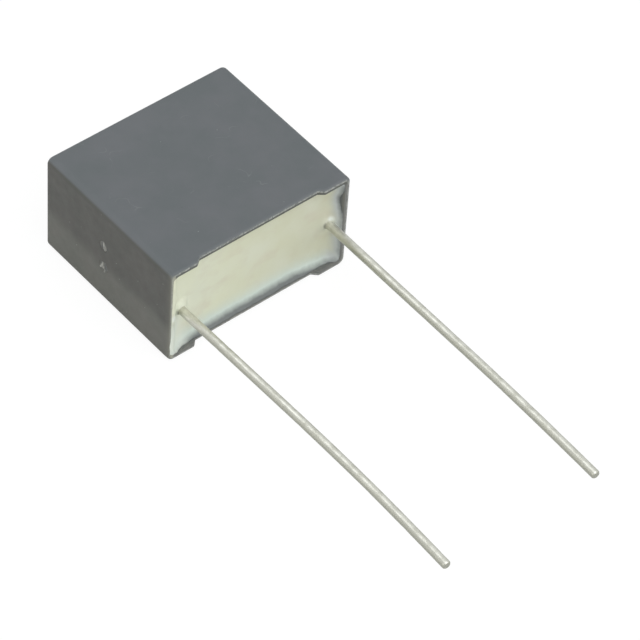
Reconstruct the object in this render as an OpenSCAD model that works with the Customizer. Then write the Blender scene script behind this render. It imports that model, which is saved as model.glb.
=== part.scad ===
// Box film capacitor, pitch 15 mm, with long radial leads.
//
// The moulded case lies on one broad side, as it does on a bench, with its open
// end and its leads towards -Y. The origin is the centre of the broad face that
// it lies on. X runs along the pitch of the leads and +Z points up.
// All sizes are in millimetres.

/* [Case] */
// Length of the case beyond the axis of each lead
end_margin = 1.4; // [1.2:0.05:2.5]
// Height of the case, from the tips of its feet to the closed back
case_h = 15.7; // [14.5:0.1:22]
// Thickness of the case across its broad sides
case_t = 9.75; // [9:0.05:14]
// Wall of the two narrow ends, at the mouth
end_wall = 0.5; // [0.4:0.05:0.8]
// Wall of the two broad sides, at the mouth
side_wall = 0.55; // [0.4:0.05:0.8]
// Wall of the closed back
back_wall = 0.8; // [0.5:0.1:1.5]
// Slope of the inner walls, which lets the moulding leave its core
core_draft = 0.4; // [0.1:0.1:1]
// Radius of the four long outer corners
corner_r = 0.6; // [0.3:0.1:1.2]
// Radius of the edge around the closed back
back_edge_r = 0.35; // [0.1:0.05:0.6]
// Radius of the edge around the mouth, at the feet
mouth_edge_r = 0.2; // [0.1:0.05:0.3]
// Radius of the inner corners, at the mouth
core_r = 0.3; // [0.3:0.05:0.8]
// Bevel around the bottom of the inside
core_bevel = 0.15; // [0.05:0.05:0.6]

/* [Feet] */
// Flat length of each corner foot, measured from the end of the case
foot_l = 2.55; // [1.5:0.05:4]
// Height of the feet above the edge between them
foot_h = 0.38; // [0.2:0.02:0.6]
// Length of the ramp beside each foot
foot_ramp = 0.55; // [0.2:0.05:1]

/* [Gate marks] */
// Width of each round dish that the moulding gates left in one end
gate_d = 1.1; // [0.8:0.1:1.6]
// Depth of the dish
gate_depth = 0.14; // [0.08:0.02:0.24]
// Width of the stub in the middle of the dish
gate_stub_d = 0.46; // [0.3:0.02:0.6]
// Height of the stub above the bottom of the dish
gate_stub_h = 0.12; // [0.04:0.02:0.2]
// Amount by which the stub narrows to its tip, on each side
gate_stub_taper = 0.04; // [0.01:0.01:0.08]
// Distance between the two gates
gate_pitch = 2.25; // [1.8:0.05:3]
// Distance of the gates from the closed back
gate_from_back = 7.4; // [4:0.1:9]

/* [Potting] */
// Depth of the middle of the resin below the tips of the feet
resin_drop = 0.95; // [0.7:0.05:1.2]
// Height that the resin climbs at the walls
climb_h = 0.4; // [0.2:0.05:0.5]
// Width of the hollow curve along the walls
climb_w = 0.9; // [0.7:0.05:1.2]
// Radius of the collar of resin around each lead
collar_r = 1.15; // [0.8:0.05:1.4]
// Height of the collar up the lead
collar_h = 0.55; // [0.3:0.05:0.7]

/* [Winding] */
// Resin between the winding's cover and each broad wall, at the mouth
side_gap = 0.55; // [0.4:0.05:1.5]
// Resin between the cover and the closed back
back_gap = 0.5; // [0.3:0.1:1]
// Resin between the cover and the level middle of the resin's surface
front_gap = 1.55; // [1:0.05:3]
// Thickness of the plain film turns that cover the winding
cover_t = 0.2; // [0.1:0.05:0.3]
// Thickness of the metal sprayed on each end of the winding
spray_t = 0.45; // [0.3:0.05:0.6]
// Bevel around the outer edge of the sprayed metal
spray_bevel = 0.2; // [0.1:0.05:0.25]

/* [Leads] */
// Distance between the axes of the two leads
pitch = 15; // [10:0.5:27.5]
// Diameter of the wire
lead_d = 0.8; // [0.6:0.05:1]
// Length of each lead beyond the tips of the feet
lead_free_l = 31.1; // [4:0.1:40]
// Distance of the leads below the middle of the case
lead_drop = 0.3; // [0:0.05:1]
// Bevel where the end of the wire was cut
cut_bevel = 0.08; // [0.02:0.02:0.15]
// Distance from the tips of the feet at which the wire starts its small side step
step_start = 0.05; // [0.02:0.01:0.15]
// Length of the side step, which ends under the collar of resin
step_l = 0.9; // [0.8:0.05:1.2]
// Amount by which the side step sets the flattened end outwards
side_step = 0.12; // [0.04:0.02:0.2]
// Diameter of the wire in the side step, as a share of lead_d
step_share = 0.95; // [0.9:0.01:0.97]
// Thickness of the wire where it starts to go flat, as a share of lead_d
press_share = 0.96; // [0.92:0.01:0.98]
// Length over which the wire then goes from round to flat
blade_taper = 1.5; // [0.5:0.1:1.5]
// Length of the flattened end, with its taper
blade_l = 8.5; // [5:0.5:10]
// Width of the flattened end that is welded to the sprayed metal
blade_w = 1.2; // [1.1:0.05:1.4]
// Thickness of the flattened end
blade_t = 0.44; // [0.3:0.02:0.6]

/* [Hidden] */
$fn = 96;

// Planes across the case, along Y
feet_y = -case_h / 2;                  // tips of the feet, which sit on the board
rim_y = feet_y + foot_h;               // edge of the broad sides between the feet
back_y = case_h / 2;                   // closed back
core_y = back_y - back_wall;           // bottom of the inside
resin_y = feet_y + resin_drop;         // level middle of the resin
mid_z = case_t / 2;                    // height of the middle of the case
lead_z = mid_z - lead_drop;            // height of the leads and their collars

// Case, outside and inside
case_l = pitch + 2 * end_margin;
core_l = case_l - 2 * end_wall;
core_t = case_t - 2 * side_wall;
core_depth = core_y - feet_y;
least_r = 0.01;                        // least radius of the corners of the inside

// Flattened ends of the leads, and the sprayed metal that they are welded to
blade_x = pitch / 2 + side_step;       // axis of the flattened end
blade_y = feet_y + step_start + step_l;
weld_x = blade_x - blade_t / 2;        // outer face of the sprayed metal
spray_x = weld_x - spray_t;            // inner face

// Winding and its cover, which fill the room between the sprayed ends
film_w = 2 * spray_x;
cover_thick = core_t - 2 * side_gap;
cover_h = core_y - back_gap - resin_y - front_gap;
winding_t = cover_thick - 2 * cover_t;
winding_h = cover_h - 2 * cover_t;
winding_y = core_y - back_gap - cover_h / 2;

// Radius of an arc that is level at its foot, and has risen by h after a width w
function climb_radius(w, h) = (w * w + h * h) / (2 * h);

overlap = 0.2;                         // reach of a cutting shape past what it cuts

// ---------------------------------------------------------------------------
// Shared shapes

// A block that stands on z = 0 with rounded long corners. The child is its
// edge profile: X is the distance from the centre line of a corner, and Y the
// height. length and width are the outer sizes where the profile is radius wide.
module profiled_block(length, width, radius, height) {
    straight_l = length - 2 * radius;
    straight_w = width - 2 * radius;
    translate([-straight_l / 2, -straight_w / 2, 0])
        cube([straight_l, straight_w, height]);
    for (side = [0, 1]) {
        mirror([side, 0, 0])
            translate([straight_l / 2, straight_w / 2, 0])
                rotate([90, 0, 0])
                    linear_extrude(straight_w) children();
        mirror([0, side, 0])
            translate([-straight_l / 2, straight_w / 2, 0])
                rotate([90, 0, 90])
                    linear_extrude(straight_l) children();
        for (end = [0, 1])
            mirror([side, 0, 0]) mirror([0, end, 0])
                translate([straight_l / 2, straight_w / 2, 0])
                    rotate_extrude(angle = 90) children();
    }
}

// Turns a shape that stands on z = 0 so that it reaches along +Y from y = from_y,
// with its axis at a height of z
module along_y(from_y, z = mid_z) {
    translate([0, from_y, z])
        rotate([-90, 0, 0])
            children();
}

// Outline of a flattened roll: two straight sides and two half-round ends
module flat_roll_2d(height, thickness) {
    square([height - thickness, thickness], center = true);
    for (side = [-1, 1])
        translate([side * (height - thickness) / 2, 0])
            circle(d = thickness);
}

// A slice of a flattened roll, with its axis along X
module flat_roll(height, thickness, length) {
    translate([-length / 2, winding_y, mid_z])
        rotate([90, 0, 90])
            linear_extrude(length)
                flat_roll_2d(height, thickness);
}

// ---------------------------------------------------------------------------
// Case

// What rounding one edge takes off a section, around the centre of its radius
module edge_waste_2d(radius) {
    difference() {
        square(2 * radius);
        circle(r = radius);
    }
}

// Outside of the case, with a rounded edge at each end
module case_outside() {
    along_y(feet_y)
        profiled_block(case_l, case_t, corner_r, case_h)
            difference() {
                square([corner_r, case_h]);
                translate([corner_r - back_edge_r, case_h - back_edge_r])
                    edge_waste_2d(back_edge_r);
                translate([corner_r - mouth_edge_r, mouth_edge_r])
                    mirror([0, 1]) edge_waste_2d(mouth_edge_r);
            }
}

// Room inside the case, which narrows towards the closed back. It runs straight
// out past the mouth, so that it also cuts the mouth open.
module core() {
    depth = core_depth + overlap;
    bevel_start = depth - core_bevel;
    bevel_r = core_r - (core_depth - core_bevel) * tan(core_draft);
    along_y(feet_y - overlap)
        profiled_block(core_l, core_t, core_r, depth)
            polygon([
                [0, 0],
                [core_r, 0],
                [core_r, overlap],
                [bevel_r, bevel_start],
                [max(least_r, bevel_r - core_bevel), depth],
                [0, depth]
            ]);
}

// Clears the broad sides between the feet, with a ramp beside each foot
module between_feet() {
    half_top = case_l / 2 - foot_l;
    half_bottom = half_top - foot_ramp;
    slope = foot_ramp / foot_h;
    translate([0, 0, -overlap])
        linear_extrude(case_t + 2 * overlap)
            polygon([
                [-half_bottom, rim_y],
                [half_bottom, rim_y],
                [half_top + overlap * slope, feet_y - overlap],
                [-half_top - overlap * slope, feet_y - overlap]
            ]);
}

// Dish with a stub in it, sunk in the narrow end at -X
module gate_mark(z) {
    translate([-case_l / 2, back_y - gate_from_back, z])
        rotate([0, 90, 0])
            rotate_extrude()
                polygon([
                    [0, -overlap],
                    [gate_d / 2, -overlap],
                    [gate_d / 2, 0],
                    [gate_d / 2 - gate_depth, gate_depth],
                    [gate_stub_d / 2, gate_depth],
                    [gate_stub_d / 2 - gate_stub_taper, gate_depth - gate_stub_h],
                    [0, gate_depth - gate_stub_h]
                ]);
}

module case() {
    color([0.39, 0.41, 0.43])
        difference() {
            case_outside();
            core();
            between_feet();
            for (side = [-1, 1])
                gate_mark(mid_z + side * gate_pitch / 2);
        }
}

// ---------------------------------------------------------------------------
// Potting

// Everything above the surface of the resin, without the collars. The surface
// is level in the middle and curves up to climb_h at the walls.
module above_resin() {
    reach = climb_w + overlap;
    arc_r = climb_radius(climb_w, climb_h);
    arc_top = arc_r - sqrt(arc_r * arc_r - reach * reach);
    height = resin_drop + 2 * overlap;
    mirror([0, 1, 0])
        along_y(-resin_y)
            profiled_block(core_l + 2 * overlap, core_t + 2 * overlap, reach, height)
                difference() {
                    square([reach, height]);
                    difference() {
                        square([reach + overlap, arc_top]);
                        translate([0, arc_r]) circle(arc_r);
                    }
                }
}

// Resin drawn up around one lead, with a hollow flank
module collar(side) {
    rise = climb_radius(collar_r - lead_d / 2, collar_h);
    translate([side * blade_x, resin_y, lead_z])
        rotate([90, 0, 0])
            rotate_extrude()
                difference() {
                    square([collar_r, collar_h]);
                    translate([collar_r, rise]) circle(rise);
                }
}

module resin_fill() {
    color([0.8, 0.8, 0.72])
        difference() {
            intersection() {
                core();
                union() {
                    difference() {
                        core();
                        above_resin();
                    }
                    for (side = [-1, 1]) collar(side);
                }
            }
            winding_with_cover();
            for (side = [-1, 1]) {
                sprayed_end(side);
                lead(side);
            }
        }
}

// ---------------------------------------------------------------------------
// Winding

module winding_with_cover() {
    flat_roll(cover_h, cover_thick, film_w);
}

// The metallised film, wound and pressed flat
module film_winding() {
    color([0.72, 0.74, 0.76])
        flat_roll(winding_h, winding_t, film_w);
}

// Plain film turns around the winding
module cover_wrap() {
    color([0.85, 0.87, 0.85])
        difference() {
            winding_with_cover();
            flat_roll(winding_h, winding_t, film_w + 2 * overlap);
        }
}

// Metal sprayed on one end of the winding, over the edges of the film
module sprayed_end(side) {
    radius = cover_thick / 2;
    straight = cover_h - cover_thick;
    translate([side * spray_x, winding_y, mid_z])
        rotate([90, 0, side * 90])
            union() {
                translate([-straight / 2, 0, 0])
                    rotate([90, 0, 90])
                        linear_extrude(straight)
                            for (half = [0, 1]) mirror([half, 0]) spray_2d(radius);
                for (end = [0, 1])
                    mirror([end, 0, 0])
                        translate([straight / 2, 0, 0])
                            rotate([0, 0, -90])
                                rotate_extrude(angle = 180) spray_2d(radius);
            }
}

// Half of the section across the sprayed metal
module spray_2d(radius) {
    polygon([
        [0, 0],
        [radius, 0],
        [radius, spray_t - spray_bevel],
        [radius - spray_bevel, spray_t],
        [0, spray_t]
    ]);
}

module end_spray_left() {
    color([0.6, 0.6, 0.62]) sprayed_end(-1);
}

module end_spray_right() {
    color([0.6, 0.6, 0.62]) sprayed_end(1);
}

// ---------------------------------------------------------------------------
// Leads

// A tinned wire: round and straight outside the case, pressed flat at the weld
module lead(side) {
    tip_y = feet_y - lead_free_l;
    step_y = feet_y + step_start;
    mirror([(1 - side) / 2, 0, 0]) {
        translate([pitch / 2, 0, 0])
            along_y(tip_y, lead_z) {
                cylinder(d1 = lead_d - 2 * cut_bevel, d2 = lead_d, h = cut_bevel);
                translate([0, 0, cut_bevel])
                    cylinder(d = lead_d, h = step_y - tip_y - cut_bevel);
            }
        translate([pitch / 2, step_y, lead_z]) wire_step();
        translate([blade_x, 0, 0])
            along_y(blade_y, lead_z) blade();
    }
}

// The side step of the wire, from the origin to x = side_step, y = step_l. Its
// ends reach a little way into the round wire and into the flattened end.
module wire_step() {
    reach = lead_d / 10;
    rotate([-90, 0, -atan2(side_step, step_l)])
        translate([0, 0, -reach])
            cylinder(d = lead_d * step_share, h = norm([side_step, step_l]) + 2 * reach);
}

// The flattened end, which widens as it thins
module blade() {
    start_t = lead_d * press_share;
    intersection() {
        union() {
            cylinder(d1 = lead_d, d2 = blade_w, h = blade_taper);
            translate([0, 0, blade_taper])
                cylinder(d = blade_w, h = blade_l - blade_taper);
        }
        translate([0, blade_w, 0])
            rotate([90, 0, 0])
                linear_extrude(2 * blade_w)
                    polygon([
                        [-start_t / 2, 0],
                        [start_t / 2, 0],
                        [blade_t / 2, blade_taper],
                        [blade_t / 2, blade_l],
                        [-blade_t / 2, blade_l],
                        [-blade_t / 2, blade_taper]
                    ]);
    }
}

module lead_left() {
    color([0.78, 0.78, 0.76]) lead(-1);
}

module lead_right() {
    color([0.78, 0.78, 0.76]) lead(1);
}

case();
resin_fill();
film_winding();
cover_wrap();
end_spray_left();
end_spray_right();
lead_left();
lead_right();
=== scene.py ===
"""Box film capacitor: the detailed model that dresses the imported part.

The moulded case, the cast resin and the two tinned wires are made here in fine
detail and stand for their solids. The winding, its cover and the sprayed ends
are inside the resin and keep their solids, with finishes of their own.
"""
from __future__ import annotations

import logging
import math
from collections.abc import Mapping, Sequence
from dataclasses import dataclass
from enum import Enum

import bmesh
import bpy
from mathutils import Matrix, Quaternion, Vector, noise


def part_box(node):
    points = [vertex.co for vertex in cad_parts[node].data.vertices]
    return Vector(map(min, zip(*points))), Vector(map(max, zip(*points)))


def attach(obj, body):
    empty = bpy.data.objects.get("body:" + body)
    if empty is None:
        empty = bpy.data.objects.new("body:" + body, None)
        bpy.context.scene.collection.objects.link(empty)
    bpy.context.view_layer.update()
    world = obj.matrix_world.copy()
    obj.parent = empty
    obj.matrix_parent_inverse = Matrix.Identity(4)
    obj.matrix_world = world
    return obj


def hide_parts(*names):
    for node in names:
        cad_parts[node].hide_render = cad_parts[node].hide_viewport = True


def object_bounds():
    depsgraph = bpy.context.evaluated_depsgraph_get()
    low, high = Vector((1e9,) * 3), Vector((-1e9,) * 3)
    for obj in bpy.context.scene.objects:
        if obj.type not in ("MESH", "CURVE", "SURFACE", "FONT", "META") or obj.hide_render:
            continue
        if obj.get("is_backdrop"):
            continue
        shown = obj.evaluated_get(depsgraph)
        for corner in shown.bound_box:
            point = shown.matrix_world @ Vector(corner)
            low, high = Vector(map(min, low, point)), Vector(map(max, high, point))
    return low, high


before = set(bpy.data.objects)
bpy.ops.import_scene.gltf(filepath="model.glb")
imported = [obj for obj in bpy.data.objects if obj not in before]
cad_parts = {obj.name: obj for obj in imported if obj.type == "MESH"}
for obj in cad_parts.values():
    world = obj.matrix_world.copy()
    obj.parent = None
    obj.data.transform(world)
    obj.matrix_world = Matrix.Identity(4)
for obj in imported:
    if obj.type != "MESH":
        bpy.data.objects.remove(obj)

log = logging.getLogger("capacitor")

MM = 0.001
BODY = "root"

Socket = bpy.types.NodeSocket
Thing = bpy.types.Object
Pair = tuple[float, float]
Triple = tuple[float, float, float]
EVEN: Triple = (1.0, 1.0, 1.0)


# --- Small tools


class WearAndLight(Enum):
    """Names of the weights that the case and the resin carry for their finishes: wear, scars and
    thin resin, and painted light and shade.
    """

    # EDGE is edge wear with a painted highlight, GATE the gate scars with a painted highlight on
    # one arc, LIP painted light on the rounded lip, FILM thin resin that also paints a cool light
    # where it climbs, ROOT a painted shadow under each wire, COLLAR painted light around the
    # wires.
    EDGE = "edge_wear"
    LAND = "rim_land"
    GATE = "gate_scar"
    LIP = "mouth_lip"
    FILM = "thin_film"
    ROOT = "wire_root"
    COLLAR = "wire_collar"


def clamp(value: float) -> float:
    """Keeps a value between 0 and 1."""
    return min(1.0, max(0.0, value))


def blend(a: float, b: float, share: float) -> float:
    """The value a share of the way from a to b."""
    return a + (b - a) * share


def smooth(value: float) -> float:
    """An even S curve from 0 to 1."""
    t = clamp(value)
    return t * t * (3 - 2 * t)


@dataclass(frozen=True)
class Ramp:
    """A rise from start over a length, which is negative where it rises the other way."""

    start: float
    length: float

    def line(self, value: float) -> float:
        """The straight rise at a value, 0 to 1."""
        return clamp((value - self.start) / self.length)

    def at(self, value: float) -> float:
        """The eased rise at a value, 0 to 1."""
        return smooth((value - self.start) / self.length)


@dataclass(frozen=True)
class Fade:
    """What fades away from a wall: its base, its share of a second weight, and its reach."""

    base: float
    share: float
    reach: float

    def at(self, away: float, second: float = 0.0) -> float:
        """The value at a distance from the wall."""
        return (self.base + self.share * second) * math.exp(-away / self.reach)


def grain(x: float, y: float, z: float) -> float:
    """Smooth noise between about -1 and 1, the same on each run."""
    return noise.noise(Vector((x, y, z)))


def srgb(*levels: int) -> Triple:
    """Turns a colour as a screen shows it into the linear values of a shader.

    Args:
        *levels: Red, green and blue, 0 to 255.

    Returns:
        The three linear values, 0 to 1.
    """
    shares = [level / 255 for level in levels]
    return tuple(share / 12.92 if share <= 0.04045 else ((share + 0.055) / 1.055) ** 2.4
                 for share in shares)


def stations(marks: Sequence[Pair], end: float) -> list[float]:
    """Values that change their spacing at given marks.

    Args:
        marks: Pairs of a starting value and the widest spacing from there on.
        end: The last value, which is included.

    Returns:
        The values in order.
    """
    values: list[float] = []
    limits = [mark for mark, _ in marks[1:]] + [end]
    for (start, step), stop in zip(marks, limits):
        count = max(1, math.ceil(abs(stop - start) / step - 1e-9))
        values += [start + (stop - start) * k / count for k in range(count)]
    return values + [end]


def banded(end: float, low: float, high: float, steps: Triple) -> list[float]:
    """Values that are closer in a band on each side of the middle.

    Args:
        end: The last value. The first is as far on the other side.
        low: Where the band starts, from the middle.
        high: Where the band ends.
        steps: Widest spacing beyond the band, in it and at the middle.

    Returns:
        The values in order.
    """
    wide, fine, middle = steps
    return stations([(-end, wide), (-high, fine), (-low, middle), (low, fine), (high, wide)], end)


def quarter(steps: int, first: int = 0) -> list[Pair]:
    """Points of a quarter round: how far in and how far up, as shares of its radius."""
    angles = [math.pi / 2 * k / steps for k in range(first, steps + 1)]
    return [(1 - math.cos(angle), 1 - math.sin(angle)) for angle in angles]


def new_object(name: str, data: bpy.types.ID) -> Thing:
    """Links a mesh, a lamp or a camera to the scene as an object at the origin."""
    made = bpy.data.objects.new(name, data)
    bpy.context.scene.collection.objects.link(made)
    return made


def seal(mesh: bmesh.types.BMesh, name: str, offset: Vector,
         weights: Mapping[WearAndLight, Sequence[float]], finish: bpy.types.Material) -> Thing:
    """Closes a mesh built in millimetres and makes it an object in metres.

    Args:
        mesh: The points and faces.
        name: The object's name.
        offset: Where the mesh's own origin lies, in millimetres.
        weights: One value per point for each weight.
        finish: The object's material.

    Returns:
        The object, at the origin and in place.
    """
    mesh.verts.ensure_lookup_table()
    for key, values in weights.items():
        layer = mesh.verts.layers.float.new(key.value)
        for vert, value in zip(mesh.verts, values):
            vert[layer] = value
    bmesh.ops.remove_doubles(mesh, verts=mesh.verts, dist=1e-5)
    bmesh.ops.recalc_face_normals(mesh, faces=mesh.faces)
    bmesh.ops.translate(mesh, verts=mesh.verts, vec=offset)
    bmesh.ops.scale(mesh, verts=mesh.verts, vec=(MM, MM, MM))
    made = new_object(name, bpy.data.meshes.new(name))
    store(mesh, made.data)
    made.data.materials.append(finish)
    return made


def store(mesh: bmesh.types.BMesh, data: bpy.types.Mesh) -> None:
    """Shades a mesh smoothly, apart from its caps, and stores it.

    Args:
        mesh: The points and faces, freed here.
        data: Where they go.
    """
    for face in mesh.faces:
        face.smooth = len(face.verts) < 5
    mesh.to_mesh(data)
    mesh.free()


# --- Node trees


class NodeWriter:
    """A node tree, with short ways to add nodes and join them."""

    def __init__(self, tree: bpy.types.NodeTree) -> None:
        """Takes the tree that the nodes go into and empties it."""
        self.tree = tree
        self.tree.nodes.clear()

    def feed(self, socket: Socket, value: object) -> None:
        """Joins a socket to another one, or sets it to a value.

        Args:
            socket: The socket.
            value: A socket or a value. Nothing changes if it is None.
        """
        if isinstance(value, Socket):
            self.tree.links.new(value, socket)
        elif value is not None:
            opaque = socket.type == "RGBA" and len(value) == 3
            socket.default_value = (*value, 1.0) if opaque else value

    def add(self, kind: str, sockets: Mapping[str | int, object] | None = None,
            **settings: object) -> bpy.types.Node:
        """Adds a node.

        Args:
            kind: The node's type.
            sockets: What each input is joined or set to.
            **settings: The node's properties.

        Returns:
            The node.
        """
        node = self.tree.nodes.new(kind)
        for key, value in settings.items():
            setattr(node, key, value)
        for key, value in (sockets or {}).items():
            self.feed(node.inputs[key], value)
        return node

    def math(self, operation: str, *values: object) -> Socket:
        """Adds a Math node for the values and returns its result."""
        return self.add("ShaderNodeMath", dict(enumerate(values)), operation=operation).outputs[0]

    def times(self, a: object, b: object) -> Socket:
        """The product of two values."""
        return self.math("MULTIPLY", a, b)

    def plus(self, a: object, b: object) -> Socket:
        """The sum of two values."""
        return self.math("ADD", a, b)

    def scaled(self, a: object, factor: object, base: object) -> Socket:
        """A value times a factor, on top of a base."""
        return self.math("MULTIPLY_ADD", a, factor, base)

    def parts(self, vector: Socket) -> tuple[Socket, ...]:
        """The three parts of a vector."""
        return tuple(self.add("ShaderNodeSeparateXYZ", {0: vector}).outputs)

    def remap(self, value: object, low: object, high: object, to_low: float = 0.0,
              to_high: float = 1.0, curve: str = "LINEAR") -> Socket:
        """Adds a Map Range node, which stays within its new range.

        Args:
            value: Socket to read.
            low: Value that becomes to_low.
            high: Value that becomes to_high.
            to_low: New low value.
            to_high: New high value.
            curve: The node's interpolation.

        Returns:
            The result's socket.
        """
        node = self.add("ShaderNodeMapRange", {
            "Value": value, "From Min": low, "From Max": high, "To Min": to_low, "To Max": to_high,
        }, interpolation_type=curve, clamp=True)
        return node.outputs["Result"]

    def noise(self, vector: Socket, scale: float, detail: float,
              roughness: float = 0.5) -> Socket:
        """Adds a Noise node and returns its value."""
        return self.add("ShaderNodeTexNoise", {"Vector": vector, "Scale": scale, "Detail": detail,
                                               "Roughness": roughness}).outputs[0]


@dataclass(frozen=True)
class Cloud:
    """Soft noise: its density per millimetre, its detail and the range that it is spread over.

    The noise between low and high becomes to_low to to_high. Along makes it
    denser or longer on each axis.
    """

    scale: float
    detail: float
    low: float = 0.3
    high: float = 0.7
    to_low: float = 0.0
    to_high: float = 1.0
    roughness: float = 0.5
    along: Triple = EVEN


@dataclass(frozen=True)
class Specks:
    """Small round specks, scattered thinly.

    Scale counts the places for a speck per millimetre, size is a speck's radius
    as a share of their distance, share is how many of them hold one, and turn
    turns the pattern, in degrees, to keep two apart.
    """

    scale: float
    size: float
    share: float
    turn: float = 0.0


@dataclass(frozen=True)
class Lint:
    """Short curved marks, as fine fibres leave.

    Scale is how tightly they curve, width is theirs as a share of the noise's
    range, and rarity is the noise level above which one shows.
    """

    scale: float
    width: float
    rarity: float
    angles: Triple = (40.0, 20.0, 70.0)
    fade: float = 0.05


class Coat(NodeWriter):
    """A material under way: its tree, its surface shader and patterns in millimetres."""

    def __init__(self, name: str) -> None:
        """Makes the material with a surface shader joined to its output."""
        self.material = bpy.data.materials.new(name)
        self.material.use_nodes = True
        super().__init__(self.material.node_tree)
        self.shader = self.add("ShaderNodeBsdfPrincipled")
        self.add("ShaderNodeOutputMaterial", {"Surface": self.shader.outputs[0]})
        self.place = self.add("ShaderNodeTexCoord").outputs["Object"]
        self.mm = self.turned()
        self.x, self.y, self.z = self.parts(self.mm)

    def turned(self, scale: Triple = EVEN, angles: Triple = (0.0, 0.0, 0.0)) -> Socket:
        """Object coordinates in millimetres, stretched and turned.

        Args:
            scale: How dense a pattern becomes along each axis.
            angles: Turn about each axis, in degrees.

        Returns:
            The coordinates' socket.
        """
        return self.add("ShaderNodeMapping", {
            "Vector": self.place, "Rotation": [math.radians(angle) for angle in angles],
            "Scale": [value / MM for value in scale],
        }, vector_type="POINT").outputs[0]

    def weight(self, name: WearAndLight) -> Socket:
        """A weight that the mesh carries."""
        return self.add("ShaderNodeAttribute", attribute_name=name.value).outputs["Fac"]

    def mix(self, share: object, a: object, b: object, way: str = "MIX") -> Socket:
        """Mixes two colours.

        Args:
            share: Share of the second colour, a value or a socket.
            a: First colour or socket.
            b: Second colour or socket.
            way: The node's blend type.

        Returns:
            The mixed colour's socket.
        """
        return self.add("ShaderNodeMix", {"Factor": share, "A": a, "B": b},
                        data_type="RGBA", blend_type=way).outputs["Result"]

    def tint(self, colour: Socket, *layers: tuple[object, object, object]) -> Socket:
        """Mixes tones into a colour, one after the other.

        Args:
            colour: The colour so far.
            *layers: For each tone its weight, the share of that to use, and the tone.

        Returns:
            The new colour.
        """
        for weight, share, tone in layers:
            colour = self.mix(self.times(weight, share), colour, tone)
        return colour

    def raw(self, cloud: Cloud) -> Socket:
        """The noise of a cloud, before it is spread."""
        vector = self.mm if cloud.along == EVEN else self.turned(cloud.along)
        return self.noise(vector, cloud.scale, cloud.detail, cloud.roughness)

    def spread(self, noise_value: Socket, cloud: Cloud) -> Socket:
        """A noise spread over the range of a cloud."""
        return self.remap(noise_value, cloud.low, cloud.high, cloud.to_low, cloud.to_high)

    def cloud(self, cloud: Cloud) -> Socket:
        """The noise of a cloud, spread over its range."""
        return self.spread(self.raw(cloud), cloud)

    def cells(self, vector: Socket, scale: float) -> bpy.types.Node:
        """Adds a Voronoi node of the given density."""
        return self.add("ShaderNodeTexVoronoi", {"Vector": vector, "Scale": scale})

    def specks(self, specks: Specks) -> Socket:
        """A weight that is 1 on a speck.

        Args:
            specks: The specks.

        Returns:
            The weight's socket.
        """
        node = self.cells(self.turned(angles=(specks.turn, specks.turn, 0.0)), specks.scale)
        spot = self.remap(node.outputs["Distance"], specks.size * 0.5, specks.size, 1.0, 0.0)
        parts = self.add("ShaderNodeSeparateColor", {0: node.outputs["Color"]})
        return self.times(spot, self.math("LESS_THAN", parts.outputs[0], specks.share))

    def lint(self, lint: Lint) -> Socket:
        """A weight that is 1 on a mark of lint.

        Args:
            lint: The marks.

        Returns:
            The weight's socket.
        """
        wave = self.math("SUBTRACT", self.noise(self.mm, lint.scale, 1.0), 0.5)
        line = self.remap(self.math("ABSOLUTE", wave), lint.width * 0.4, lint.width, 1.0, 0.0)
        place = self.noise(self.turned(angles=lint.angles), lint.scale * 0.8, 2.0)
        return self.times(line, self.remap(place, lint.rarity, lint.rarity + lint.fade))

    def bump(self, *layers: tuple[Socket, float]) -> None:
        """Puts relief on the surface.

        Args:
            *layers: Pairs of a height pattern and its depth in millimetres.
        """
        normal = None
        for height, depth in layers:
            normal = self.add("ShaderNodeBump", {
                "Strength": 1.0, "Distance": abs(depth) * MM, "Height": height, "Normal": normal,
            }, invert=depth < 0).outputs[0]
        self.feed(self.shader.inputs["Normal"], normal)

    def surface(self, **values: object) -> None:
        """Sets or joins inputs of the surface shader, named with _ for each space."""
        for key, value in values.items():
            self.feed(self.shader.inputs[key.replace("_", " ")], value)


# --- Finishes


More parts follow.
